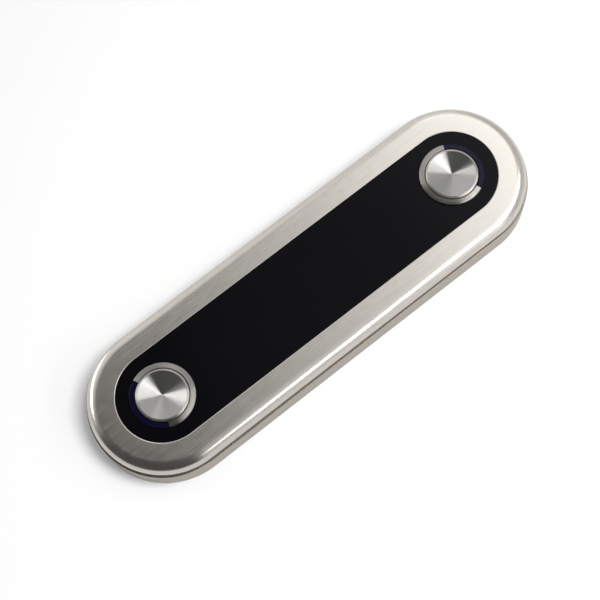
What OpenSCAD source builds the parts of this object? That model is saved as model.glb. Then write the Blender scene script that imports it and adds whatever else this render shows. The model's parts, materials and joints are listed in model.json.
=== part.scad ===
// Lift call panel for the wall beside a lift door: a round-ended steel cover with a black window
// and two sprung push buttons, carried on a shallow back box.
// The wall is the plane z = 0, the front faces +Z and the upper button lies towards +Y.
// In a profile, x is the distance from the panel's centre line or a button's axis and y is the height.

/* [Panel] */
// Distance between the two button centres
button_pitch = 200; // [170:1:260]
// Depth from the wall to the front face
panel_t = 24; // [21:0.5:32]
// Width of the window opening
opening_w = 51.2; // [48:0.1:60]
// Width of the flat steel face on each side of the window
face_w = 9.5; // [9:0.1:16]
// Radius of the rounded rim
rim_r = 6.6; // [5:0.1:8]
// Straight skirt between the rim and the seam
skirt_h = 2.1; // [0.2:0.1:3]
// Step out from the side of the cover to the side of the back box
box_step = 1; // [0.2:0.1:2]

/* [Sheet metal] */
// Sheet thickness of the cover
cover_t = 1.5; // [1:0.1:2]
// Bevel round the window opening
opening_bevel = 0.3; // [0.1:0.1:0.8]
// Sheet thickness of the back box's wall and flange
box_t = 1.5; // [1:0.1:2]
// Sheet thickness of the back box's floor
floor_t = 1.2; // [0.8:0.1:2]
// Radius on the upper edge of the back box
box_edge_r = 0.3; // [0.2:0.1:0.9]
// How far the box's flange reaches inside the cover's skirt
flange_land = 2; // [1:0.1:3]
// Thickness of the gasket in the seam
gasket_t = 0.5; // [0.3:0.1:1]
// How far the gasket lies back from the flange's inner edge
gasket_inset = 0.6; // [0.2:0.1:1]
// Bead of the gasket that shows on the step outside the cover
gasket_bead = 0.2; // [0.1:0.1:0.8]

/* [Wall fixing and cable] */
// Diameter of the wall screw holes
wall_hole_d = 4.5; // [3.5:0.1:6]
// Distance from a button's centre in to its wall screw hole
wall_hole_inset = 30; // [27:1:34]
// Diameter of the holes in the board over the wall screws
access_d = 11; // [8:0.5:14]
// Clear diameter of the cable bush
cable_d = 21; // [14:0.5:22]
// Wall of the cable bush
bush_wall = 1.8; // [1.2:0.1:2.5]
// Width of the bush's flange outside its wall
bush_flange_w = 2; // [1:0.1:3]
// Thickness of the bush's flange
bush_flange_t = 1.2; // [0.8:0.1:1.8]

/* [Window] */
// How far the window lies below the steel face
window_recess = 0.1; // [0:0.05:0.5]
// Gap between the window and the steel round it
window_gap = 0.1; // [0.05:0.05:0.3]
// Width of the lip behind the cover
window_lip_w = 2.8; // [2:0.1:3.1]
// Thickness of the lip
window_lip_t = 2; // [1.5:0.1:3]
// Thickness of the adhesive tape
tape_t = 0.3; // [0.1:0.05:0.5]
// How far the tape lies back from the lip's edges
tape_inset = 0.4; // [0.2:0.1:0.8]

/* [Button face] */
// Diameter of the moving cap
cap_d = 29; // [26:0.5:31]
// Height of the cap over the steel face
cap_stand = 2; // [1.7:0.1:3]
// Width of the cap's bevelled edge
cap_bevel_w = 1.2; // [0.3:0.1:1.5]
// Height of the cap's bevelled edge
cap_bevel_h = 0.5; // [0.2:0.1:0.8]
// Depth of the cap's hollowed face at its centre
cap_dish = 0.5; // [0.1:0.1:0.6]
// Thickness of the cap's top and skirt
cap_t = 1.2; // [0.8:0.1:1.6]
// Height of the cap with its skirt
cap_h = 4.5; // [3.5:0.1:5]
// Travel of the button
travel = 1.5; // [1:0.1:1.8]
// Gap between the cap and the ring round it
ring_gap = 0.5; // [0.35:0.05:1]
// Width of the ring
ring_w = 3; // [2.7:0.1:4]
// Height of the ring over the steel face
ring_stand = 1.2; // [0.8:0.1:2]
// Bevel on the ring's edges
ring_bevel = 0.3; // [0.1:0.05:0.5]
// Angle of the light in the ring
light_angle = 132; // [60:1:200]
// Height of the light over the steel face
light_stand = 1.1; // [0.7:0.1:1.9]
// Angle left free at each end of the light
light_end_gap = 0.5; // [0.2:0.1:2]
// Radius of the ring's pegs
peg_r = 0.5; // [0.3:0.05:0.6]
// Length of the ring's pegs
peg_l = 2.5; // [1:0.1:3.5]

/* [Button body] */
// Gap round the cap in the light guide
run_gap = 0.3; // [0.25:0.05:0.45]
// Gap round the stem in its guide
stem_gap = 0.08; // [0.04:0.01:0.1]
// Gap between fixed pieces that slip together
fit_gap = 0.1; // [0.05:0.05:0.2]
// Gap left under the button at the end of its travel
press_gap = 0.2; // [0.1:0.05:0.3]
// Width of the light guide's lip on the window
guide_lip_w = 1; // [0.6:0.1:1.2]
// Thickness of the light guide's lip
guide_lip_t = 0.4; // [0.3:0.05:0.6]
// Width of the step that traps the housing
guide_step_w = 0.4; // [0.3:0.05:0.6]
// Thickness of the housing's wall
housing_t = 1.4; // [1:0.1:1.6]
// Thickness of the plate across the housing
plate_t = 1.6; // [1.2:0.1:2]
// Height of the guide collar on the plate
collar_h = 1.5; // [0.5:0.1:2]
// Thickness of the guide collar
collar_t = 1.1; // [0.8:0.1:1.2]
// Thickness of the plunger's disc
disc_t = 1.4; // [1:0.1:1.8]
// Radius of the plunger's stem
stem_r = 5; // [4.5:0.1:5.1]
// Length of the stem below the retaining ring
stem_tail = 0.5; // [0.3:0.1:1]
// Free height of the spring's room at rest
spring_l = 5.8; // [5.4:0.1:6.4]
// Mean radius of the spring
spring_r = 7; // [6.9:0.1:7.4]
// Radius of the spring's wire
wire_r = 0.35; // [0.25:0.05:0.4]
// Turns of the spring
spring_turns = 5; // [3:1:6]
// Thickness of the retaining ring
clip_t = 0.8; // [0.6:0.1:1]
// Depth of the retaining ring's groove
clip_groove = 0.6; // [0.4:0.1:1]
// How far the retaining ring stands out of the stem
clip_stand = 1.8; // [1:0.1:2.5]
// Thickness of the washer under the nut
washer_t = 0.6; // [0.4:0.1:1]
// Thickness of the nut
nut_t = 3; // [2:0.1:4]
// Wall of the nut at its flats
nut_wall = 3; // [2:0.1:4]

/* [Circuit board] */
// Room between the box's floor and the board
board_gap = 2.6; // [2.2:0.1:3.5]
// Thickness of the board
board_t = 1.6; // [1:0.1:2]
// Width of board outside the standoffs
board_margin = 0.7; // [0.5:0.1:1.5]
// Gap between the board's ends and the fixing blocks
board_end_gap = 1; // [0.5:0.1:3]
// Room round the cable in the board's slot
slot_room = 1.5; // [0.5:0.1:2]
// How much longer than wide the slot is
slot_extra = 9; // [1:0.5:12]
// Radius of the standoffs
standoff_r = 2.75; // [2.4:0.05:2.9]
// Gap between the standoffs and the window's lip
standoff_gap = 0.4; // [0.2:0.1:0.8]
// Distance from a button's centre in to the standoffs beside it
standoff_inset = 25; // [20:1:40]
// Radius of the board screws
screw_r = 1.25; // [1:0.05:1.5]
// Radius of the board screws' heads
screw_head_r = 2.4; // [2:0.1:2.7]
// Height of the board screws' heads
screw_head_h = 1.6; // [1:0.1:1.8]
// Length of screw in the standoff
screw_grip = 6; // [4:0.5:8]
// Side of the switch body
switch_w = 12; // [8:0.5:14]
// Radius of the switch stem
switch_stem_r = 1.7; // [1.2:0.1:3]
// Length of the switch stem inside its body at rest
switch_stem_in = 1.3; // [1:0.1:1.6]
// Side of an LED
led_w = 1.6; // [1:0.1:2]
// Height of an LED
led_h = 0.8; // [0.5:0.1:1.2]
// Gap between the LEDs and the light guide
led_gap = 0.4; // [0.2:0.1:1]
// Angle between neighbouring LEDs
led_step = 40; // [20:1:50]

/* [Electronics] */
// Side of the chip
chip_w = 12; // [8:0.5:14]
// Height of the chip
chip_h = 1.4; // [1:0.1:2]
// Distance between the chip and the board's slot
chip_gap = 6; // [3:0.5:8]
// Distance between neighbouring leads of the chip
lead_pitch = 1; // [0.8:0.1:1.3]
// Width of a lead
lead_w = 0.4; // [0.2:0.05:0.5]
// Length of a lead
lead_l = 1.4; // [1:0.1:2]
// Diameter of the capacitors
capacitor_d = 8; // [6:0.5:9]
// Height of the capacitors
capacitor_h = 7; // [5:0.5:8]
// Height of the capacitors' square feet
capacitor_foot = 1; // [0.5:0.1:2]
// Distance from the capacitors to the chip and to the centre line
capacitor_gap = 3; // [2:0.5:5]
// Width of the connector
connector_w = 14; // [12:0.5:20]
// Depth of the connector
connector_d = 7; // [5:0.5:9]
// Height of the connector
connector_h = 7; // [5:0.5:8]
// Wall of the connector
connector_wall = 1.2; // [0.8:0.1:1.6]
// Distance between the connector and the board's slot
connector_gap = 3; // [1:0.5:6]
// Number of connector pins
pins = 4; // [2:1:4]
// Distance between neighbouring pins
pin_pitch = 2.5; // [2:0.1:2.6]
// Side of a pin
pin_w = 0.64; // [0.4:0.02:0.8]

/* [Cover fixing] */
// Thickness of the fixing blocks, along the panel
block_t = 6; // [4:0.5:6.5]
// Width of the fixing blocks
block_w = 10; // [8:0.5:20]
// Radius of the set screws
set_screw_r = 1.5; // [1:0.1:2]
// How far a set screw lies below the side of the box
set_screw_sunk = 0.6; // [0.2:0.1:1.2]
// Steel left under a set screw in its block
block_foot = 3; // [2.5:0.1:4]

/* [Hidden] */
$fn = 72;

// Half-widths of the long outlines and radii about a button's axis
opening_r = opening_w / 2;
flat_r = opening_r + face_w;
cover_r = flat_r + rim_r;
cover_in = cover_r - cover_t;
box_r = cover_r + box_step;
flange_in = cover_in - flange_land;
window_r = opening_r - window_gap;
lip_r = opening_r + window_lip_w;
cap_r = cap_d / 2;
cap_in = cap_r - cap_t;
ring_in = cap_r + ring_gap;
ring_r = ring_in + ring_w;
guide_r = ring_r - guide_lip_w;
guide_in = cap_r + run_gap;
housing_r = guide_in + guide_step_w;
guide_low_in = housing_r + fit_gap;
button_hole_r = guide_r + 2 * fit_gap;
peg_at = (guide_in + guide_r) / 2;
led_at = (guide_low_in + guide_r) / 2;
standoff_x = lip_r + standoff_gap + standoff_r;
board_r = standoff_x + standoff_r + board_margin;
bush_r = cable_d / 2 + bush_wall;
bush_flange_r = bush_r + bush_flange_w;

// Heights
face_z = panel_t;
cover_under = face_z - cover_t;
rim_z = face_z - rim_r;
seam_z = rim_z - skirt_h;
box_top = seam_z - gasket_t;
flange_under = box_top - box_t;
window_top = face_z - window_recess;
lip_top = cover_under - tape_t;
lip_under = lip_top - window_lip_t;
seat_top = window_top + guide_lip_t;
ring_top = face_z + ring_stand;
light_top = face_z + light_stand;
cap_top = face_z + cap_stand;
cap_under = cap_top - cap_t;
cap_bottom = cap_top - cap_h;
housing_top = cap_bottom - travel - 2 * press_gap;
disc_under = cap_under - disc_t;
plate_top = disc_under - spring_l;
plate_under = plate_top - plate_t;
clip_top = plate_under - fit_gap;
clip_under = clip_top - clip_t;
stem_bottom = clip_under - stem_tail;
switch_top = stem_bottom - travel - press_gap;
board_under = floor_t + board_gap;
board_top = board_under + board_t;
guide_bottom = board_top + led_h + led_gap;
nut_top = lip_under - washer_t;

// Places along the panel
button_y = button_pitch / 2;
wall_hole_y = button_y - wall_hole_inset;
standoff_y = button_y - standoff_inset;
block_out = flat_r - fit_gap;
block_in = block_out - block_t;
board_end = block_in - board_end_gap;
set_screw_z = (floor_t + flange_under) / 2;
slot_w = cable_d + 2 * slot_room;
slot_end = (slot_w + slot_extra) / 2;
capacitor_r = capacitor_d / 2;
chip_y = slot_end + chip_gap + chip_w / 2;
capacitor_y = chip_y + chip_w / 2 + capacitor_gap + capacitor_r;
connector_y = -(slot_end + connector_gap + connector_d / 2);

steel = "#b8b4ad";
turned_steel = "#c9c7c4";
zinc = "#a9adb0";
black = "#17171a";
rubber = "#26262a";
blue = "#232a78";
white = "#e6e3da";
board_green = "#1d5a3a";
brass = "#b59a55";

// Flat outline with round ends about the button centres
module oblong(r, half_l = button_y) {
    square([2 * r, 2 * half_l], center = true);
    for (end = [-1, 1])
        translate([0, end * half_l])
            circle(r);
}

// Carries a profile once round the panel
module round_panel() {
    for (half = [0, 180])
        rotate([0, 0, half])
            translate([0, button_y, 0]) {
                rotate_extrude(angle = 180)
                    children();
                rotate([90, 0, 0])
                    linear_extrude(button_pitch)
                        children();
            }
}

// Rectangle between two corners
module span(low, high) {
    translate(low)
        square(high - low);
}

// Cylinder between two heights
module rod(r, low, high) {
    translate([0, 0, low])
        cylinder(r = r, h = high - low);
}

// Places a button's piece: the light points up on the upper button and down on the lower one
module at_button(side) {
    translate([0, side * button_y, 0])
        rotate([0, 0, 90 - 90 * side])
            children();
}

// Solid shape under the rounded rim, grown inwards by inset
module rim_shape(inset) {
    span([0, 0], [flat_r, face_z - inset]);
    span([0, 0], [cover_r - inset, rim_z]);
    translate([flat_r, rim_z])
        circle(rim_r - inset);
}

module cover_profile() {
    difference() {
        rim_shape(0);
        rim_shape(cover_t);
        span([0, 0], [opening_r, face_z + 1]);
        span([0, 0], [cover_r + 1, seam_z]);
        translate([opening_r, face_z])
            rotate(45)
                square(opening_bevel * sqrt(2), center = true);
    }
}

module front_cover() {
    color(steel)
        round_panel()
            cover_profile();
}

module window() {
    color(black)
        difference() {
            union() {
                translate([0, 0, lip_under])
                    linear_extrude(window_lip_t)
                        oblong(lip_r);
                translate([0, 0, lip_under])
                    linear_extrude(window_top - lip_under)
                        oblong(window_r);
            }
            for (side = [-1, 1])
                at_button(side)
                    rod(button_hole_r, lip_under - 1, window_top + 1);
        }
}

module window_tape() {
    color(rubber)
        round_panel()
            span([opening_r + tape_inset, lip_top], [lip_r - tape_inset, cover_under]);
}

module box_profile() {
    edge_r = min(box_edge_r, box_t);
    span([box_r - box_t, 0], [box_r, box_top - edge_r]);
    span([flange_in, flange_under], [box_r - edge_r, box_top]);
    translate([box_r - edge_r, box_top - edge_r])
        circle(edge_r);
}

module back_box() {
    color(steel)
        difference() {
            union() {
                round_panel()
                    box_profile();
                linear_extrude(floor_t)
                    oblong(box_r - box_t / 2);
            }
            rod(bush_r + fit_gap / 2, -1, floor_t + 1);
            for (end = [-1, 1]) {
                translate([0, end * wall_hole_y, 0])
                    rod(wall_hole_d / 2, -1, floor_t + 1);
                along_end(end)
                    rod(set_screw_r + 2 * fit_gap, box_r - 2 * box_t, box_r + 1);
            }
        }
}

// Turns a rod so that it runs out of the panel's end at the height of the set screws
module along_end(end) {
    translate([0, end * button_y, set_screw_z])
        rotate([-90 * end, 0, 0])
            children();
}

module cover_gasket() {
    bead = min(gasket_bead, box_step / 2);
    color(rubber)
        round_panel()
            span([flange_in + gasket_inset, box_top], [cover_r + bead, seam_z]);
}

module cable_bush() {
    color(black)
        difference() {
            union() {
                rod(bush_r, 0, floor_t);
                rod(bush_flange_r, floor_t, floor_t + bush_flange_t);
            }
            rod(cable_d / 2, -1, floor_t + bush_flange_t + 1);
        }
}

// Repeats a piece at each standoff
module at_standoffs() {
    for (x = [-1, 1], y = [-1, 0, 1])
        translate([x * standoff_x, y * standoff_y, 0])
            children();
}

module circuit_board() {
    color(board_green)
        translate([0, 0, board_under])
            linear_extrude(board_t)
                difference() {
                    intersection() {
                        oblong(board_r);
                        square([2 * board_r, 2 * (button_y + board_end)], center = true);
                    }
                    oblong(slot_w / 2, slot_extra / 2);
                    at_standoffs()
                        circle(screw_r + 2 * fit_gap);
                    for (end = [-1, 1])
                        translate([0, end * wall_hole_y])
                            circle(access_d / 2);
                }
}

module standoffs() {
    color(brass)
        at_standoffs()
            difference() {
                rod(standoff_r, board_top, cover_under);
                rod(screw_r + fit_gap / 2, board_top - 1, board_top + screw_grip + 1);
            }
}

module board_screws() {
    color(zinc)
        at_standoffs() {
            rod(screw_r, board_under - screw_head_h / 2, board_top + screw_grip);
            rod(screw_head_r, board_under - screw_head_h, board_under);
        }
}

module fixing_blocks() {
    color(zinc)
        for (end = [-1, 1])
            difference() {
                translate([0, end * (button_y + (block_in + block_out) / 2), 0])
                    translate([-block_w / 2, -block_t / 2, set_screw_z - block_foot])
                        cube([block_w, block_t, cover_under - set_screw_z + block_foot]);
                along_end(end)
                    rod(set_screw_r + fit_gap / 2, block_in - 1, block_out + 1);
            }
}

module set_screws() {
    socket_r = 0.6 * set_screw_r;
    out = box_r - set_screw_sunk;
    color(zinc)
        for (end = [-1, 1])
            along_end(end)
                difference() {
                    rod(set_screw_r, block_in + set_screw_sunk, out);
                    translate([0, 0, out - set_screw_r])
                        cylinder(r = socket_r, h = 2 * set_screw_r, $fn = 6);
                }
}

module controller_chip() {
    leads = floor(chip_w / lead_pitch) - 2;
    color(black)
        translate([0, chip_y, board_top]) {
            translate([-chip_w / 2, -chip_w / 2, chip_h / 8])
                cube([chip_w, chip_w, chip_h]);
            for (turn = [0 : 90 : 270], i = [0 : leads - 1])
                rotate([0, 0, turn])
                    translate([chip_w / 2 - lead_w, (i - (leads - 1) / 2) * lead_pitch - lead_w / 2, 0])
                        cube([lead_l, lead_w, chip_h / 2]);
        }
}

module capacitors() {
    color(zinc)
        for (x = [-1, 1])
            translate([x * (capacitor_r + capacitor_gap), capacitor_y, board_top]) {
                translate([-capacitor_r, -capacitor_r, 0])
                    cube([capacitor_d, capacitor_d, capacitor_foot]);
                rod(capacitor_r, capacitor_foot / 2, capacitor_h);
            }
}

module bus_connector() {
    color(white)
        translate([0, connector_y, board_top])
            difference() {
                translate([-connector_w / 2, -connector_d / 2, 0])
                    cube([connector_w, connector_d, connector_h]);
                translate([connector_wall - connector_w / 2, connector_wall - connector_d / 2, connector_wall])
                    cube([connector_w - 2 * connector_wall, connector_d - 2 * connector_wall, connector_h]);
            }
}

module connector_pins() {
    color(brass)
        for (i = [0 : pins - 1])
            translate([(i - (pins - 1) / 2) * pin_pitch, connector_y, board_top + connector_wall])
                translate([-pin_w / 2, -pin_w / 2, 0])
                    cube([pin_w, pin_w, connector_h - 2 * connector_wall]);
}

module cap_profile() {
    difference() {
        polygon([
            [0, cap_bottom],
            [cap_r, cap_bottom],
            [cap_r, cap_top - cap_bevel_h],
            [cap_r - cap_bevel_w, cap_top],
            [0, cap_top - cap_dish]
        ]);
        span([-1, cap_bottom - 1], [cap_in, cap_under]);
    }
}

module cap(side) {
    color(turned_steel)
        at_button(side)
            rotate_extrude()
                cap_profile();
}

module plunger(side) {
    seat_in = spring_r + 2 * wire_r + press_gap;
    seat_t = 1;
    color(white)
        at_button(side)
            difference() {
                union() {
                    rod(cap_in - fit_gap / 2, disc_under, cap_under);
                    rod(stem_r, stem_bottom, cap_under);
                    rod(seat_in + seat_t, disc_under - seat_t, cap_under);
                }
                difference() {
                    rod(seat_in, disc_under - 2 * seat_t, disc_under);
                    rod(stem_r, disc_under - 3 * seat_t, disc_under);
                }
                difference() {
                    rod(stem_r + 1, clip_under, clip_top);
                    rod(stem_r - clip_groove, clip_under - 1, clip_top + 1);
                }
            }
}

module retaining_ring(side) {
    neck_r = stem_r - clip_groove + fit_gap / 2;
    mouth_w = 1.4 * neck_r;
    color(zinc)
        at_button(side)
            difference() {
                rod(stem_r + clip_stand, clip_under, clip_top);
                rod(neck_r, clip_under - 1, clip_top + 1);
                translate([-mouth_w / 2, 0, clip_under - 1])
                    cube([mouth_w, stem_r + clip_stand + 1, clip_t + 2]);
            }
}

// Points of one cross-section of the spring's wire, at a share of the way up the coil
function wire_ring(share, sides, low, high) =
    let (turn = 360 * spring_turns * share)
    [for (k = [0 : sides - 1])
        let (a = 360 * k / sides, r = spring_r + wire_r * cos(a))
        [r * cos(turn), r * sin(turn), low + (high - low) * share + wire_r * sin(a)]];

module spring(side) {
    sides = 8;
    steps = 20 * spring_turns;
    low = plate_top + wire_r + fit_gap / 2;
    high = disc_under - wire_r - fit_gap / 2;
    points = [for (i = [0 : steps]) each wire_ring(i / steps, sides, low, high)];
    walls = [for (i = [0 : steps - 1], k = [0 : sides - 1])
        [sides * i + k, sides * (i + 1) + k, sides * (i + 1) + (k + 1) % sides, sides * i + (k + 1) % sides]];
    start = [for (k = [0 : sides - 1]) k];
    end = [for (k = [sides - 1 : -1 : 0]) sides * steps + k];
    color(zinc)
        at_button(side)
            polyhedron(points, concat([start], walls, [end]));
}

// Bar of the ring's width with bevelled upper edges
module ring_profile(low, top) {
    polygon([
        [ring_in, low],
        [ring_r, low],
        [ring_r, top - ring_bevel],
        [ring_r - ring_bevel, top],
        [ring_in + ring_bevel, top],
        [ring_in, top - ring_bevel]
    ]);
}

// Part of a turn of a profile, centred on the direction at
module arc_of(angle, at) {
    rotate([0, 0, at - angle / 2])
        rotate_extrude(angle = angle)
            children();
}

// Repeats the ring's pegs along the half that has no light
module at_pegs() {
    for (a = [210 : 60 : 330])
        rotate([0, 0, a])
            translate([peg_at, 0, 0])
                children();
}

module ring(side) {
    color(steel)
        at_button(side) {
            arc_of(360 - light_angle, -90)
                ring_profile(seat_top, ring_top);
            at_pegs()
                rod(peg_r, seat_top - peg_l, (seat_top + ring_top) / 2);
        }
}

module light_guide(side) {
    color(blue)
        at_button(side)
            difference() {
                union() {
                    rotate_extrude()
                        difference() {
                            union() {
                                span([guide_in, guide_bottom], [guide_r, seat_top]);
                                span([guide_in, window_top], [ring_r - fit_gap, seat_top]);
                            }
                            span([0, guide_bottom - 1], [guide_low_in, housing_top]);
                        }
                    arc_of(light_angle - 2 * light_end_gap, 90)
                        ring_profile((window_top + seat_top) / 2, light_top);
                }
                at_pegs()
                    rod(peg_r + fit_gap / 2, seat_top - peg_l - fit_gap, seat_top + 1);
            }
}

module housing(side) {
    color(black)
        at_button(side)
            difference() {
                union() {
                    difference() {
                        rod(housing_r, board_top, housing_top);
                        rod(housing_r - housing_t, board_top - 1, housing_top + 1);
                    }
                    rod(housing_r - housing_t / 2, plate_under, plate_top);
                    rod(stem_r + stem_gap + collar_t, plate_under, plate_top + collar_h);
                }
                rod(stem_r + stem_gap, plate_under - 1, plate_top + collar_h + 1);
            }
}

module washer(side) {
    color(rubber)
        at_button(side)
            difference() {
                rod(guide_r + nut_wall, nut_top, lip_under);
                rod(guide_r + fit_gap, nut_top - 1, lip_under + 1);
            }
}

module nut(side) {
    color(zinc)
        at_button(side)
            difference() {
                translate([0, 0, nut_top - nut_t])
                    cylinder(r = (guide_r + nut_wall) / cos(30), h = nut_t, $fn = 6);
                rod(guide_r + fit_gap, nut_top - nut_t - 1, nut_top + 1);
            }
}

module switch(side) {
    color(black)
        at_button(side)
            difference() {
                translate([-switch_w / 2, -switch_w / 2, board_top])
                    cube([switch_w, switch_w, switch_top - board_top]);
                rod(switch_stem_r + 2 * fit_gap, switch_top - switch_stem_in - travel - press_gap, switch_top + 1);
            }
}

module switch_stem(side) {
    color(white)
        at_button(side)
            rod(switch_stem_r, switch_top - switch_stem_in, stem_bottom);
}

module leds(side) {
    color(white)
        at_button(side)
            for (a = [-led_step, 0, led_step])
                rotate([0, 0, 90 + a])
                    translate([led_at - led_w / 2, -led_w / 2, board_top])
                        cube([led_w, led_w, led_h]);
}

front_cover();
window();
window_tape();
back_box();
cover_gasket();
cable_bush();
circuit_board();
standoffs();
board_screws();
fixing_blocks();
set_screws();
controller_chip();
capacitors();
bus_connector();
connector_pins();
cap(1);  // up_cap
plunger(1);  // up_plunger
retaining_ring(1);  // up_retaining_ring
spring(1);  // up_spring
ring(1);  // up_ring
light_guide(1);  // up_light_guide
housing(1);  // up_housing
washer(1);  // up_washer
nut(1);  // up_nut
switch(1);  // up_switch
switch_stem(1);  // up_switch_stem
leds(1);  // up_leds
cap(-1);  // down_cap
plunger(-1);  // down_plunger
retaining_ring(-1);  // down_retaining_ring
spring(-1);  // down_spring
ring(-1);  // down_ring
light_guide(-1);  // down_light_guide
housing(-1);  // down_housing
washer(-1);  // down_washer
nut(-1);  // down_nut
switch(-1);  // down_switch
switch_stem(-1);  // down_switch_stem
leds(-1);  // down_leds
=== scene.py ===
import json
import math

import bmesh
import bpy
from mathutils import Matrix, Vector


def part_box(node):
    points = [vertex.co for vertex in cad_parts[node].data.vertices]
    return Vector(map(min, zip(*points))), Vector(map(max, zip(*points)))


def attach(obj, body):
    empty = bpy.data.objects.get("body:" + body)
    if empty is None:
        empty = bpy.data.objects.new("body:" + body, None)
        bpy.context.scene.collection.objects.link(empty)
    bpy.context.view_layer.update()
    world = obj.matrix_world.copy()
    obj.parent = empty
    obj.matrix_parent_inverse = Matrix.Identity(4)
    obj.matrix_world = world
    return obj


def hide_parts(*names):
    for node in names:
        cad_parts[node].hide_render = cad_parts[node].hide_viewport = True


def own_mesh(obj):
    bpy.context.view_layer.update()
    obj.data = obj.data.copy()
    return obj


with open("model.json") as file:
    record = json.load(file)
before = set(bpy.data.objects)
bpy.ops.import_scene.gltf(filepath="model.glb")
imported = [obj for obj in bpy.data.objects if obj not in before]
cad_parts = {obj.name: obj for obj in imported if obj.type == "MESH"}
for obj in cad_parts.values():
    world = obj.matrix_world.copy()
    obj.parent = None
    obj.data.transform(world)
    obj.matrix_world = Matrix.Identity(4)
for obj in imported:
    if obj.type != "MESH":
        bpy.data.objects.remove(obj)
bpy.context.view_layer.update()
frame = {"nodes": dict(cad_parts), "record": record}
nodes = frame["nodes"]
scene = bpy.context.scene
MM = 0.001

# Distances that count as none: for comparing points and for joining them
NEAR = 1e-6
MERGE = 1e-7

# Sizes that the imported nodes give
cover_low, cover_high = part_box("front_cover")
cap_low, cap_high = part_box("up_cap")
ring_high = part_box("up_ring")[1]
guide_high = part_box("up_light_guide")[1]
spring_low, spring_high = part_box("up_spring")
cover_r = cover_high.x
button_y = cover_high.y - cover_r
face_z = cover_high.z
seam_z = cover_low.z
cap_r = cap_high.x
ring_r = ring_high.x
spring_l = spring_high.z - spring_low.z
opening_r = min(abs(v.co.x) for v in nodes["front_cover"].data.vertices if abs(v.co.y) <= button_y + NEAR)

# Edge and sheet sizes that no box gives
sheet_t = 1.5 * MM
rim_r = 6.6 * MM
skirt_round = 0.15 * MM
opening_bevel = 0.3 * MM
roll_w = 1.5 * opening_bevel
roll_middle_w = opening_bevel / 3
roll_middle_h = 0.4 * opening_bevel
cap_bevel_w = 1.2 * MM
cap_bevel_h = 0.5 * MM
cap_dish = 0.5 * MM
cap_wall = 1.2 * MM
crown_round = 0.12 * MM
shoulder_round = 0.15 * MM
ring_w = 3.0 * MM
ring_edge = 0.25 * MM
ring_seat = 0.8 * MM
light_angle = math.radians(132)
wire_r = 0.35 * MM
spring_turns = 5

# Fineness of the curves: segments of a rounding and steps of a turn
inner_segments = 8
rim_segments = 24
edge_segments = 3
ring_segments = 4
end_steps = 72
cap_steps = 128
ring_steps = 96
wire_sides = 10
coil_steps = 32
# Edges that turn by more than this stay crisp
sharp_angle = math.radians(15)

# The range that nearly all of a noise pattern keeps to
NOISE_LOW = 0.3
NOISE_HIGH = 0.7


def linear(hex_colour):
    """An sRGB hex colour as linear RGBA."""
    parts = [int(hex_colour[i:i + 2], 16) / 255 for i in (1, 3, 5)]
    return [c / 12.92 if c <= 0.04045 else ((c + 0.055) / 1.055) ** 2.4 for c in parts] + [1.0]


def add(tree, kind, sockets=None, **settings):
    """Adds a node with its settings. A socket's value is a constant or another node's output."""
    node = tree.nodes.new(kind)
    for name, value in settings.items():
        setattr(node, name, value)
    for name, value in (sockets or {}).items():
        socket = node.inputs[name]
        if isinstance(value, bpy.types.NodeSocket):
            tree.links.new(value, socket)
        else:
            socket.default_value = value
    return node


def new_material(name):
    """A new material with its node tree and its one surface."""
    material = bpy.data.materials.new(name)
    material.use_nodes = True
    tree = material.node_tree
    tree.nodes.clear()
    surface = add(tree, "ShaderNodeBsdfPrincipled")
    add(tree, "ShaderNodeOutputMaterial", {"Surface": surface.outputs["BSDF"]})
    return material, tree, surface


def brushed_stainless(name, tone, roughness, streak):
    """Stainless sheet with a satin hairline grind along the panel: soft mirror with fine streaks along Y."""
    material, tree, surface = new_material(name)
    place = add(tree, "ShaderNodeTexCoord").outputs["Object"]
    # Hairlines are about 0.05 mm apart; drawn at 0.5 mm, and 40 mm long, so that they show
    hairline_w, hairline_l = 0.5, 40
    per_hairline = (1 / hairline_w, 1 / hairline_l, 1 / hairline_w)
    along = add(tree, "ShaderNodeMapping", {"Vector": place, "Scale": per_hairline})
    hairline = add(tree, "ShaderNodeTexNoise", {"Vector": along.outputs["Vector"], "Scale": 1 / MM,
                                                "Detail": 4.0})
    # Clouding from handling, in patches of some 4 by 8 mm
    cloud_w, cloud_l = 4, 8
    cloud_share = 0.6
    per_cloud = (1 / cloud_w, 1 / cloud_l, 1 / cloud_w)
    drawn = add(tree, "ShaderNodeMapping", {"Vector": place, "Scale": per_cloud})
    cloud = add(tree, "ShaderNodeTexNoise", {"Vector": drawn.outputs["Vector"], "Scale": 1 / MM,
                                             "Detail": 4.0})
    mixed = add(tree, "ShaderNodeMath", {0: cloud.outputs["Fac"], 1: cloud_share, 2: hairline.outputs["Fac"]},
                operation="MULTIPLY_ADD")
    # The range that nearly all of the two patterns together keeps to
    low, high = 0.45, 1.15
    shade = add(tree, "ShaderNodeMapRange", {"Value": mixed.outputs[0], "From Min": low, "From Max": high,
                                             "To Min": 1 - streak, "To Max": 1 + streak})
    colour = add(tree, "ShaderNodeVectorMath", {0: linear(tone)[:3], 1: shade.outputs["Result"]},
                 operation="MULTIPLY")
    swing = 0.04
    gloss = add(tree, "ShaderNodeMapRange", {"Value": mixed.outputs[0], "From Min": low, "From Max": high,
                                             "To Min": roughness - swing, "To Max": roughness + swing})
    groove = 0.02 * MM
    bump = add(tree, "ShaderNodeBump", {"Height": hairline.outputs["Fac"], "Strength": 0.02,
                                        "Distance": groove})
    surface.inputs["Metallic"].default_value = 1.0
    tree.links.new(colour.outputs["Vector"], surface.inputs["Base Color"])
    tree.links.new(gloss.outputs["Result"], surface.inputs["Roughness"])
    tree.links.new(bump.outputs["Normal"], surface.inputs["Normal"])
    return material


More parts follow.
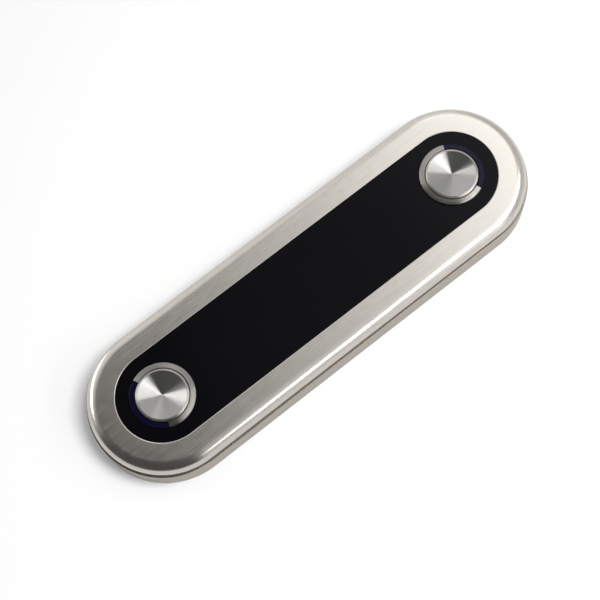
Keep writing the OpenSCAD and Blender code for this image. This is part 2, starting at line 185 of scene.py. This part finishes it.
def turned_stainless(name, tone, roughness, centre_y, lean):
    """Stainless turned on a lathe: fine rings about the button's axis spread the light into wedges."""
    material, tree, surface = new_material(name)
    place = add(tree, "ShaderNodeTexCoord").outputs["Object"]
    centred = add(tree, "ShaderNodeMapping", {"Vector": place, "Location": (0, -centre_y, 0)})
    axes = add(tree, "ShaderNodeSeparateXYZ", {"Vector": centred.outputs["Vector"]})
    flat = add(tree, "ShaderNodeCombineXYZ", {"X": axes.outputs["X"], "Y": axes.outputs["Y"]})
    radius = add(tree, "ShaderNodeVectorMath", {0: flat.outputs["Vector"]}, operation="LENGTH")
    # The feed marks are about 0.1 mm apart; drawn at 0.4 mm so that they show
    mark_w, mark_h = 0.4 * MM, 0.006 * MM
    rings = add(tree, "ShaderNodeTexNoise", {"W": radius.outputs["Value"], "Scale": 1 / mark_w,
                                             "Detail": 3.0}, noise_dimensions="1D")
    # Each mark has a steep and a shallow side, so the whole face throws the light as a cone does
    cone = add(tree, "ShaderNodeMath", {0: radius.outputs["Value"], 1: math.tan(math.radians(lean))},
               operation="MULTIPLY")
    ripple = add(tree, "ShaderNodeMath", {0: rings.outputs["Fac"], 1: mark_h, 2: cone.outputs[0]},
                 operation="MULTIPLY_ADD")
    bump = add(tree, "ShaderNodeBump", {"Height": ripple.outputs[0], "Strength": 1.0, "Distance": 1.0})
    outward = add(tree, "ShaderNodeTangent", direction_type="UV_MAP", uv_map="outward")
    shade = add(tree, "ShaderNodeMapRange", {"Value": rings.outputs["Fac"], "From Min": NOISE_LOW,
                                             "From Max": NOISE_HIGH, "To Min": 0.93, "To Max": 1.05})
    colour = add(tree, "ShaderNodeVectorMath", {0: linear(tone)[:3], 1: shade.outputs["Result"]},
                 operation="MULTIPLY")
    surface.inputs["Metallic"].default_value = 1.0
    surface.inputs["Roughness"].default_value = roughness
    surface.inputs["Anisotropic"].default_value = 1.0
    tree.links.new(colour.outputs["Vector"], surface.inputs["Base Color"])
    tree.links.new(bump.outputs["Normal"], surface.inputs["Normal"])
    tree.links.new(outward.outputs["Tangent"], surface.inputs["Tangent"])
    return material


def moulded(name, tone, roughness, grain, specular=0.5, variation=0.06):
    """Moulded plastic or rubber: an even colour with a fine skin texture, its grain given in millimetres."""
    material, tree, surface = new_material(name)
    place = add(tree, "ShaderNodeTexCoord").outputs["Object"]
    skin = add(tree, "ShaderNodeTexNoise", {"Vector": place, "Scale": 1 / (grain * MM), "Detail": 3.0})
    shade = add(tree, "ShaderNodeMapRange", {"Value": skin.outputs["Fac"], "From Min": NOISE_LOW,
                                             "From Max": NOISE_HIGH, "To Min": 1 - variation,
                                             "To Max": 1 + variation})
    colour = add(tree, "ShaderNodeVectorMath", {0: linear(tone)[:3], 1: shade.outputs["Result"]},
                 operation="MULTIPLY")
    gloss = add(tree, "ShaderNodeMapRange", {"Value": skin.outputs["Fac"], "From Min": NOISE_LOW,
                                             "From Max": NOISE_HIGH, "To Min": roughness * 0.9,
                                             "To Max": roughness * 1.1})
    skin_h = 0.01 * MM
    bump = add(tree, "ShaderNodeBump", {"Height": skin.outputs["Fac"], "Strength": 0.2, "Distance": skin_h})
    surface.inputs["Specular IOR Level"].default_value = specular
    tree.links.new(colour.outputs["Vector"], surface.inputs["Base Color"])
    tree.links.new(gloss.outputs["Result"], surface.inputs["Roughness"])
    tree.links.new(bump.outputs["Normal"], surface.inputs["Normal"])
    return material


def plated(name, tone, roughness, grain):
    """Plated or bare metal of small parts: dull mirror with a slight bloom, its grain in millimetres."""
    material, tree, surface = new_material(name)
    place = add(tree, "ShaderNodeTexCoord").outputs["Object"]
    bloom = add(tree, "ShaderNodeTexNoise", {"Vector": place, "Scale": 1 / (grain * MM), "Detail": 4.0})
    shade = add(tree, "ShaderNodeMapRange", {"Value": bloom.outputs["Fac"], "From Min": NOISE_LOW,
                                             "From Max": NOISE_HIGH, "To Min": 0.9, "To Max": 1.08})
    colour = add(tree, "ShaderNodeVectorMath", {0: linear(tone)[:3], 1: shade.outputs["Result"]},
                 operation="MULTIPLY")
    swing = 0.05
    gloss = add(tree, "ShaderNodeMapRange", {"Value": bloom.outputs["Fac"], "From Min": NOISE_LOW,
                                             "From Max": NOISE_HIGH, "To Min": roughness - swing,
                                             "To Max": roughness + swing})
    surface.inputs["Metallic"].default_value = 1.0
    tree.links.new(colour.outputs["Vector"], surface.inputs["Base Color"])
    tree.links.new(gloss.outputs["Result"], surface.inputs["Roughness"])
    return material


finishes = {
    "brushed_stainless": brushed_stainless("brushed_stainless", "#bebab3", roughness=0.21, streak=0.08),
    "black_acrylic": moulded("black_acrylic", "#030304", roughness=0.08, grain=25, specular=0.06),
    "blue_lens": moulded("blue_acrylic_lens", "#030310", roughness=0.15, grain=4, specular=0.12),
    "black_rubber": moulded("black_foam_rubber", "#1c1b1b", roughness=0.8, grain=0.6),
    "black_plastic": moulded("black_moulded_plastic", "#141415", roughness=0.45, grain=0.8),
    "white_plastic": moulded("white_nylon", "#e3dfd3", roughness=0.5, grain=1.2),
    "zinc_steel": plated("zinc_plated_steel", "#b3b7ba", roughness=0.35, grain=2.5),
    "brass": plated("bare_brass", "#c2a565", roughness=0.3, grain=2.0),
    "board_laminate": moulded("lacquered_board", "#12452b", roughness=0.3, grain=3.0, variation=0.2),
}
for part in frame["record"]["subparts"]:
    node = nodes[part["node"]]
    if part["material_slot"] in finishes:
        node.material_slots[0].material = finishes[part["material_slot"]]
# The box is the same sheet left duller than the polished cover
dull_stainless = brushed_stainless("dull_stainless", "#989085", roughness=0.38, streak=0.13)
nodes["back_box"].material_slots[0].material = dull_stainless
# The gasket's bead shows as a thin dark grey line between the two steels: a real seal, whose dark grey is
# also painted shade for the shadowed groove there
silicone_and_seam_shade = moulded("silicone_and_seam_shade", "#423d38", roughness=0.6, grain=0.6)
nodes["cover_gasket"].material_slots[0].material = silicone_and_seam_shade


def make_piece(name, bm, material, body, node):
    """Turns a bmesh into a piece that rides on a body and stands for a node."""
    bmesh.ops.remove_doubles(bm, verts=bm.verts, dist=MERGE)
    bmesh.ops.recalc_face_normals(bm, faces=bm.faces)
    mesh = bpy.data.meshes.new(name)
    bm.to_mesh(mesh)
    bm.free()
    mesh.shade_smooth()
    mesh.set_sharp_from_angle(angle=sharp_angle)
    mesh.materials.append(material)
    piece = bpy.data.objects.new(name, mesh)
    scene.collection.objects.link(piece)
    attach(piece, body)
    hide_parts(node)
    return piece


def draw_profile(bm, corners, y, rounds):
    """Draws a closed profile at y from (distance out, height) corners, rounds some and returns its edges."""
    verts = [bm.verts.new((x, y, z)) for x, z in corners]
    bm.faces.new(verts)
    for index, (radius, segments) in rounds.items():
        bmesh.ops.bevel(bm, geom=[verts[index]], offset=radius, offset_type="OFFSET", segments=segments,
                        profile=0.5, affect="VERTICES", material=-1)
    bmesh.ops.delete(bm, geom=list(bm.faces), context="FACES_ONLY")
    return list(bm.edges)


def carry_round_panel(bm, edges, steps):
    """Carries a profile on the right-hand side once round the panel's straight sides and round ends."""
    for way in (1, -1):
        out = bmesh.ops.extrude_edge_only(bm, edges=edges)["geom"]
        verts = [g for g in out if isinstance(g, bmesh.types.BMVert)]
        bmesh.ops.translate(bm, verts=verts, vec=(0, way * 2 * button_y, 0))
        edges = [g for g in out if isinstance(g, bmesh.types.BMEdge)]
        out = bmesh.ops.spin(bm, geom=verts + edges, cent=(0, way * button_y, 0), axis=(0, 0, 1),
                             angle=math.pi, steps=steps)["geom_last"]
        edges = [g for g in out if isinstance(g, bmesh.types.BMEdge)]


def map_outward(bm, centre_y):
    """Lays a UV map whose U runs outwards from the button's axis, 20 mm to the unit, and V round it."""
    unit = 20 * MM
    layer = bm.loops.layers.uv.new("outward")
    for face in bm.faces:
        middle = face.calc_center_median()
        start = math.atan2(middle.y - centre_y, middle.x)
        for loop in face.loops:
            x, y, z = loop.vert.co.x, loop.vert.co.y - centre_y, loop.vert.co.z
            turn = (math.atan2(y, x) - start + math.pi) % (2 * math.pi) - math.pi
            out = math.hypot(x, y)
            if out < NEAR:
                turn = 0.0
            loop[layer].uv = ((out - z) / unit, (start + turn) / (2 * math.pi))


# Front cover: drawn steel frame with a rounded rim and a rolled opening, carried round as one profile
cover_mesh = bmesh.new()
cover_edges = draw_profile(
    cover_mesh,
    [
        (cover_r - sheet_t, seam_z),
        (cover_r, seam_z),
        (cover_r, face_z),
        (opening_r + roll_w, face_z),
        (opening_r + roll_middle_w, face_z - roll_middle_h),
        (opening_r, face_z - opening_bevel),
        (opening_r, face_z - sheet_t),
        (cover_r - sheet_t, face_z - sheet_t),
    ],
    -button_y,
    {7: (rim_r - sheet_t, inner_segments), 2: (rim_r, rim_segments), 1: (skirt_round, edge_segments)},
)
carry_round_panel(cover_mesh, cover_edges, end_steps)
make_piece("cover_frame", cover_mesh, finishes["brushed_stainless"], "panel", "front_cover")

# Buttons: turned cap, ring and spring, once for each end
for name, side in (("up", 1), ("down", -1)):
    axis_y = side * button_y
    turned = turned_stainless(f"turned_stainless_{name}", "#a8a7a5", 0.28, axis_y, lean=32)
    polished = turned_stainless(f"polished_edge_{name}", "#ada9a3", 0.38, axis_y, lean=0)
    ring_finish = turned_stainless(f"ring_stainless_{name}", "#8d8a86", 0.31, axis_y, lean=-20)

    cap_mesh = bmesh.new()
    cap_edges = draw_profile(
        cap_mesh,
        [
            (0, cap_high.z - cap_wall),
            (cap_r - cap_wall, cap_high.z - cap_wall),
            (cap_r - cap_wall, cap_low.z),
            (cap_r, cap_low.z),
            (cap_r, cap_high.z - cap_bevel_h),
            (cap_r - cap_bevel_w, cap_high.z),
            (0, cap_high.z - cap_dish),
        ],
        axis_y,
        {5: (crown_round, edge_segments), 4: (shoulder_round, edge_segments)},
    )
    on_axis = [e for e in cap_edges if all(abs(v.co.x) < MERGE for v in e.verts)]
    bmesh.ops.delete(cap_mesh, geom=on_axis, context="EDGES")
    cap_edges = list(cap_mesh.edges)
    bmesh.ops.spin(cap_mesh, geom=list(cap_mesh.verts) + cap_edges, cent=(0, axis_y, 0), axis=(0, 0, 1),
                   angle=2 * math.pi, steps=cap_steps, use_merge=True)
    bmesh.ops.remove_doubles(cap_mesh, verts=cap_mesh.verts, dist=MERGE)
    map_outward(cap_mesh, axis_y)
    # The bevel and the side are polished, the face inside them is left as turned
    for face in cap_mesh.faces:
        middle = face.calc_center_median()
        if math.hypot(middle.x, middle.y - axis_y) > cap_r - cap_bevel_w:
            face.material_index = 1
    cap = make_piece(f"{name}_turned_cap", cap_mesh, turned, f"{name}_button", f"{name}_cap")
    cap.data.materials.append(polished)

    # The ring is open towards the panel's end, where the light guide shows
    ring_mesh = bmesh.new()
    seat_z = guide_high.z - ring_seat
    ring_edges = draw_profile(
        ring_mesh,
        [
            (ring_r - ring_w, seat_z),
            (ring_r, seat_z),
            (ring_r, ring_high.z),
            (ring_r - ring_w, ring_high.z),
        ],
        axis_y,
        {3: (ring_edge, ring_segments), 2: (ring_edge, ring_segments)},
    )
    first = math.radians(90) * side + light_angle / 2
    bmesh.ops.rotate(ring_mesh, verts=ring_mesh.verts, cent=(0, axis_y, 0),
                     matrix=Matrix.Rotation(first, 3, "Z"))
    start_cap = bmesh.ops.contextual_create(ring_mesh, geom=ring_edges)["faces"]
    bmesh.ops.spin(ring_mesh, geom=start_cap + ring_edges + list(ring_mesh.verts), cent=(0, axis_y, 0),
                   axis=(0, 0, 1), angle=2 * math.pi - light_angle, steps=ring_steps)
    map_outward(ring_mesh, axis_y)
    make_piece(f"{name}_steel_ring", ring_mesh, ring_finish, "panel", f"{name}_ring")

    spring_mesh = bmesh.new()
    coil_r = spring_high.x - wire_r
    upright = Matrix.Rotation(math.pi / 2, 4, "X")
    wire_start = Matrix.Translation((coil_r, axis_y, spring_low.z + wire_r)) @ upright
    wire = bmesh.ops.create_circle(spring_mesh, segments=wire_sides, radius=wire_r,
                                   matrix=wire_start)["verts"]
    coil_rise = (spring_l - 2 * wire_r) / (spring_turns * coil_steps)
    bmesh.ops.spin(spring_mesh, geom=wire + list(spring_mesh.edges), cent=(0, axis_y, 0), axis=(0, 0, 1),
                   dvec=(0, 0, coil_rise), angle=2 * math.pi * spring_turns, steps=coil_steps * spring_turns)
    bmesh.ops.holes_fill(spring_mesh, edges=spring_mesh.edges, sides=wire_sides)
    spring = make_piece(f"{name}_coil_spring", spring_mesh, finishes["zinc_steel"], "panel",
                        f"{name}_spring")
    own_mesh(spring)

# Floor: matt white paper on a light table, clear from below so that the panel's back can be looked at
floor_reach = 5.0
floor_gap = 0.05 * MM
paper, tree, surface = new_material("white_paper")
surface.inputs["Base Color"].default_value = linear("#8b8b8b")
surface.inputs["Emission Color"].default_value = linear("#ffffff")
surface.inputs["Emission Strength"].default_value = 0.23
surface.inputs["Roughness"].default_value = 0.9
surface.inputs["Specular IOR Level"].default_value = 0.1
below = add(tree, "ShaderNodeNewGeometry").outputs["Backfacing"]
clear = add(tree, "ShaderNodeBsdfTransparent").outputs["BSDF"]
sided = add(tree, "ShaderNodeMixShader", {"Fac": below, 1: surface.outputs["BSDF"], 2: clear})
tree.links.new(sided.outputs["Shader"], tree.nodes["Material Output"].inputs["Surface"])
floor_mesh = bmesh.new()
bmesh.ops.create_grid(floor_mesh, x_segments=1, y_segments=1, size=floor_reach,
                      matrix=Matrix.Translation((0, 0, -floor_gap)))
floor_data = bpy.data.meshes.new("floor")
floor_mesh.to_mesh(floor_data)
floor_mesh.free()
floor_data.materials.append(paper)
floor = bpy.data.objects.new("floor", floor_data)
scene.collection.objects.link(floor)


def from_zenith(x, y):
    """Unit direction that leans x and y degrees from straight up."""
    lean, turn = math.radians(math.hypot(x, y)), math.atan2(y, x)
    return Vector((math.sin(lean) * math.cos(turn), math.sin(lean) * math.sin(turn), math.cos(lean)))


def softbox(name, centre, end, height, reach, radiance):
    """A softbox round the panel from its centre and the middle of one short side; height is in degrees."""
    direction = from_zenith(*centre)
    tip = from_zenith(*end)
    half = tip.angle(direction)
    along = (tip - direction * tip.dot(direction)).normalized()
    lamp = bpy.data.lights.new(name, "AREA")
    lamp.shape = "RECTANGLE"
    lamp.size = 2 * reach * math.tan(half)
    lamp.size_y = 2 * reach * math.tan(math.radians(height / 2))
    lamp.energy = radiance * math.pi * lamp.size * lamp.size_y
    holder = bpy.data.objects.new(name, lamp)
    holder.visible_camera = False
    turn = Matrix((along, direction.cross(along), direction)).transposed()
    holder.matrix_world = Matrix.Translation(direction * reach) @ turn.to_4x4()
    scene.collection.objects.link(holder)
    return holder


# Lamps: the key draws the line along the right rim, the side lamp greys the caps, the fill whitens the floor
softbox("key_softbox", centre=(37, 27), end=(57, -5), height=13, reach=0.52, radiance=5.4)
softbox("side_softbox", centre=(-67, -42), end=(-39, -50), height=14, reach=1.4, radiance=4.4)
floor_fill = softbox("floor_fill", centre=(15, 14), end=(23, 22), height=22, reach=1.4, radiance=51.0)
floor_fill.visible_glossy = False

# Studio: a pale band over the upper end, a dark room towards the lower end and grey walls at the left
world = bpy.data.worlds.new("studio")
scene.world = world
world.use_nodes = True
tree = world.node_tree
tree.nodes.clear()
toward = add(tree, "ShaderNodeTexCoord").outputs["Generated"]
# The band begins with a soft edge, brightens slowly and steps up to a white sheet
upper = add(tree, "ShaderNodeVectorMath", {0: toward, 1: (0.13, 0.99, 0.0)}, operation="DOT_PRODUCT")
edge = add(tree, "ShaderNodeMapRange", {"Value": upper.outputs["Value"], "From Min": 0.015, "From Max": 0.045,
                                        "To Min": 0.11, "To Max": 0.53}, interpolation_type="SMOOTHSTEP")
slope = add(tree, "ShaderNodeMapRange", {"Value": upper.outputs["Value"], "From Min": 0.045, "From Max": 0.17,
                                         "To Min": 0.0, "To Max": 0.42})
height = add(tree, "ShaderNodeSeparateXYZ", {"Vector": toward}).outputs["Y"]
sheet = add(tree, "ShaderNodeMapRange", {"Value": height, "From Min": 0.21, "From Max": 0.3,
                                         "To Min": 0.0, "To Max": 1.22}, interpolation_type="SMOOTHSTEP")
rise = add(tree, "ShaderNodeMath", {0: edge.outputs["Result"], 1: slope.outputs["Result"]}, operation="ADD")
top = add(tree, "ShaderNodeMath", {0: rise.outputs[0], 1: sheet.outputs["Result"]}, operation="ADD")
# It dims again low over the upper end and towards the left
fall = add(tree, "ShaderNodeMapRange", {"Value": upper.outputs["Value"], "From Min": 0.3, "From Max": 0.7,
                                        "To Min": 0.0, "To Max": -1.35}, interpolation_type="SMOOTHSTEP")
left = add(tree, "ShaderNodeVectorMath", {0: toward, 1: (-1.0, 0.0, 0.0)}, operation="DOT_PRODUCT")
close = add(tree, "ShaderNodeMapRange", {"Value": left.outputs["Value"], "From Min": 0.45, "From Max": 0.8,
                                         "To Min": 0.0, "To Max": -1.0}, interpolation_type="SMOOTHSTEP")
drop = add(tree, "ShaderNodeMath", {0: fall.outputs["Result"], 1: close.outputs["Result"]},
           operation="MINIMUM")
band = add(tree, "ShaderNodeMath", {0: top.outputs[0], 1: drop.outputs[0]}, operation="ADD")
# The walls at the left are grey, and the rest of the room keeps a little light
grey = add(tree, "ShaderNodeMapRange", {"Value": left.outputs["Value"], "From Min": 0.15, "From Max": 0.85,
                                        "To Min": 0.06, "To Max": 1.12}, interpolation_type="SMOOTHSTEP")
walls = add(tree, "ShaderNodeMath", {0: band.outputs[0], 1: grey.outputs["Result"]}, operation="MAXIMUM")
back = add(tree, "ShaderNodeBackground", {"Color": linear("#ffffff"), "Strength": walls.outputs[0]})
add(tree, "ShaderNodeOutputWorld", {"Surface": back.outputs["Background"]})
scene.view_settings.view_transform = "Standard"

# Camera at the photograph's viewpoint
lens = bpy.data.cameras.new("camera")
lens.lens = 92.05
lens.clip_start = 0.01
camera = bpy.data.objects.new("camera", lens)
camera.location = (0.2172, -0.1339, 0.8167)
camera.rotation_euler = [math.radians(a) for a in (17.0971, 2.4738, 51.8355)]
scene.collection.objects.link(camera)
scene.camera = camera
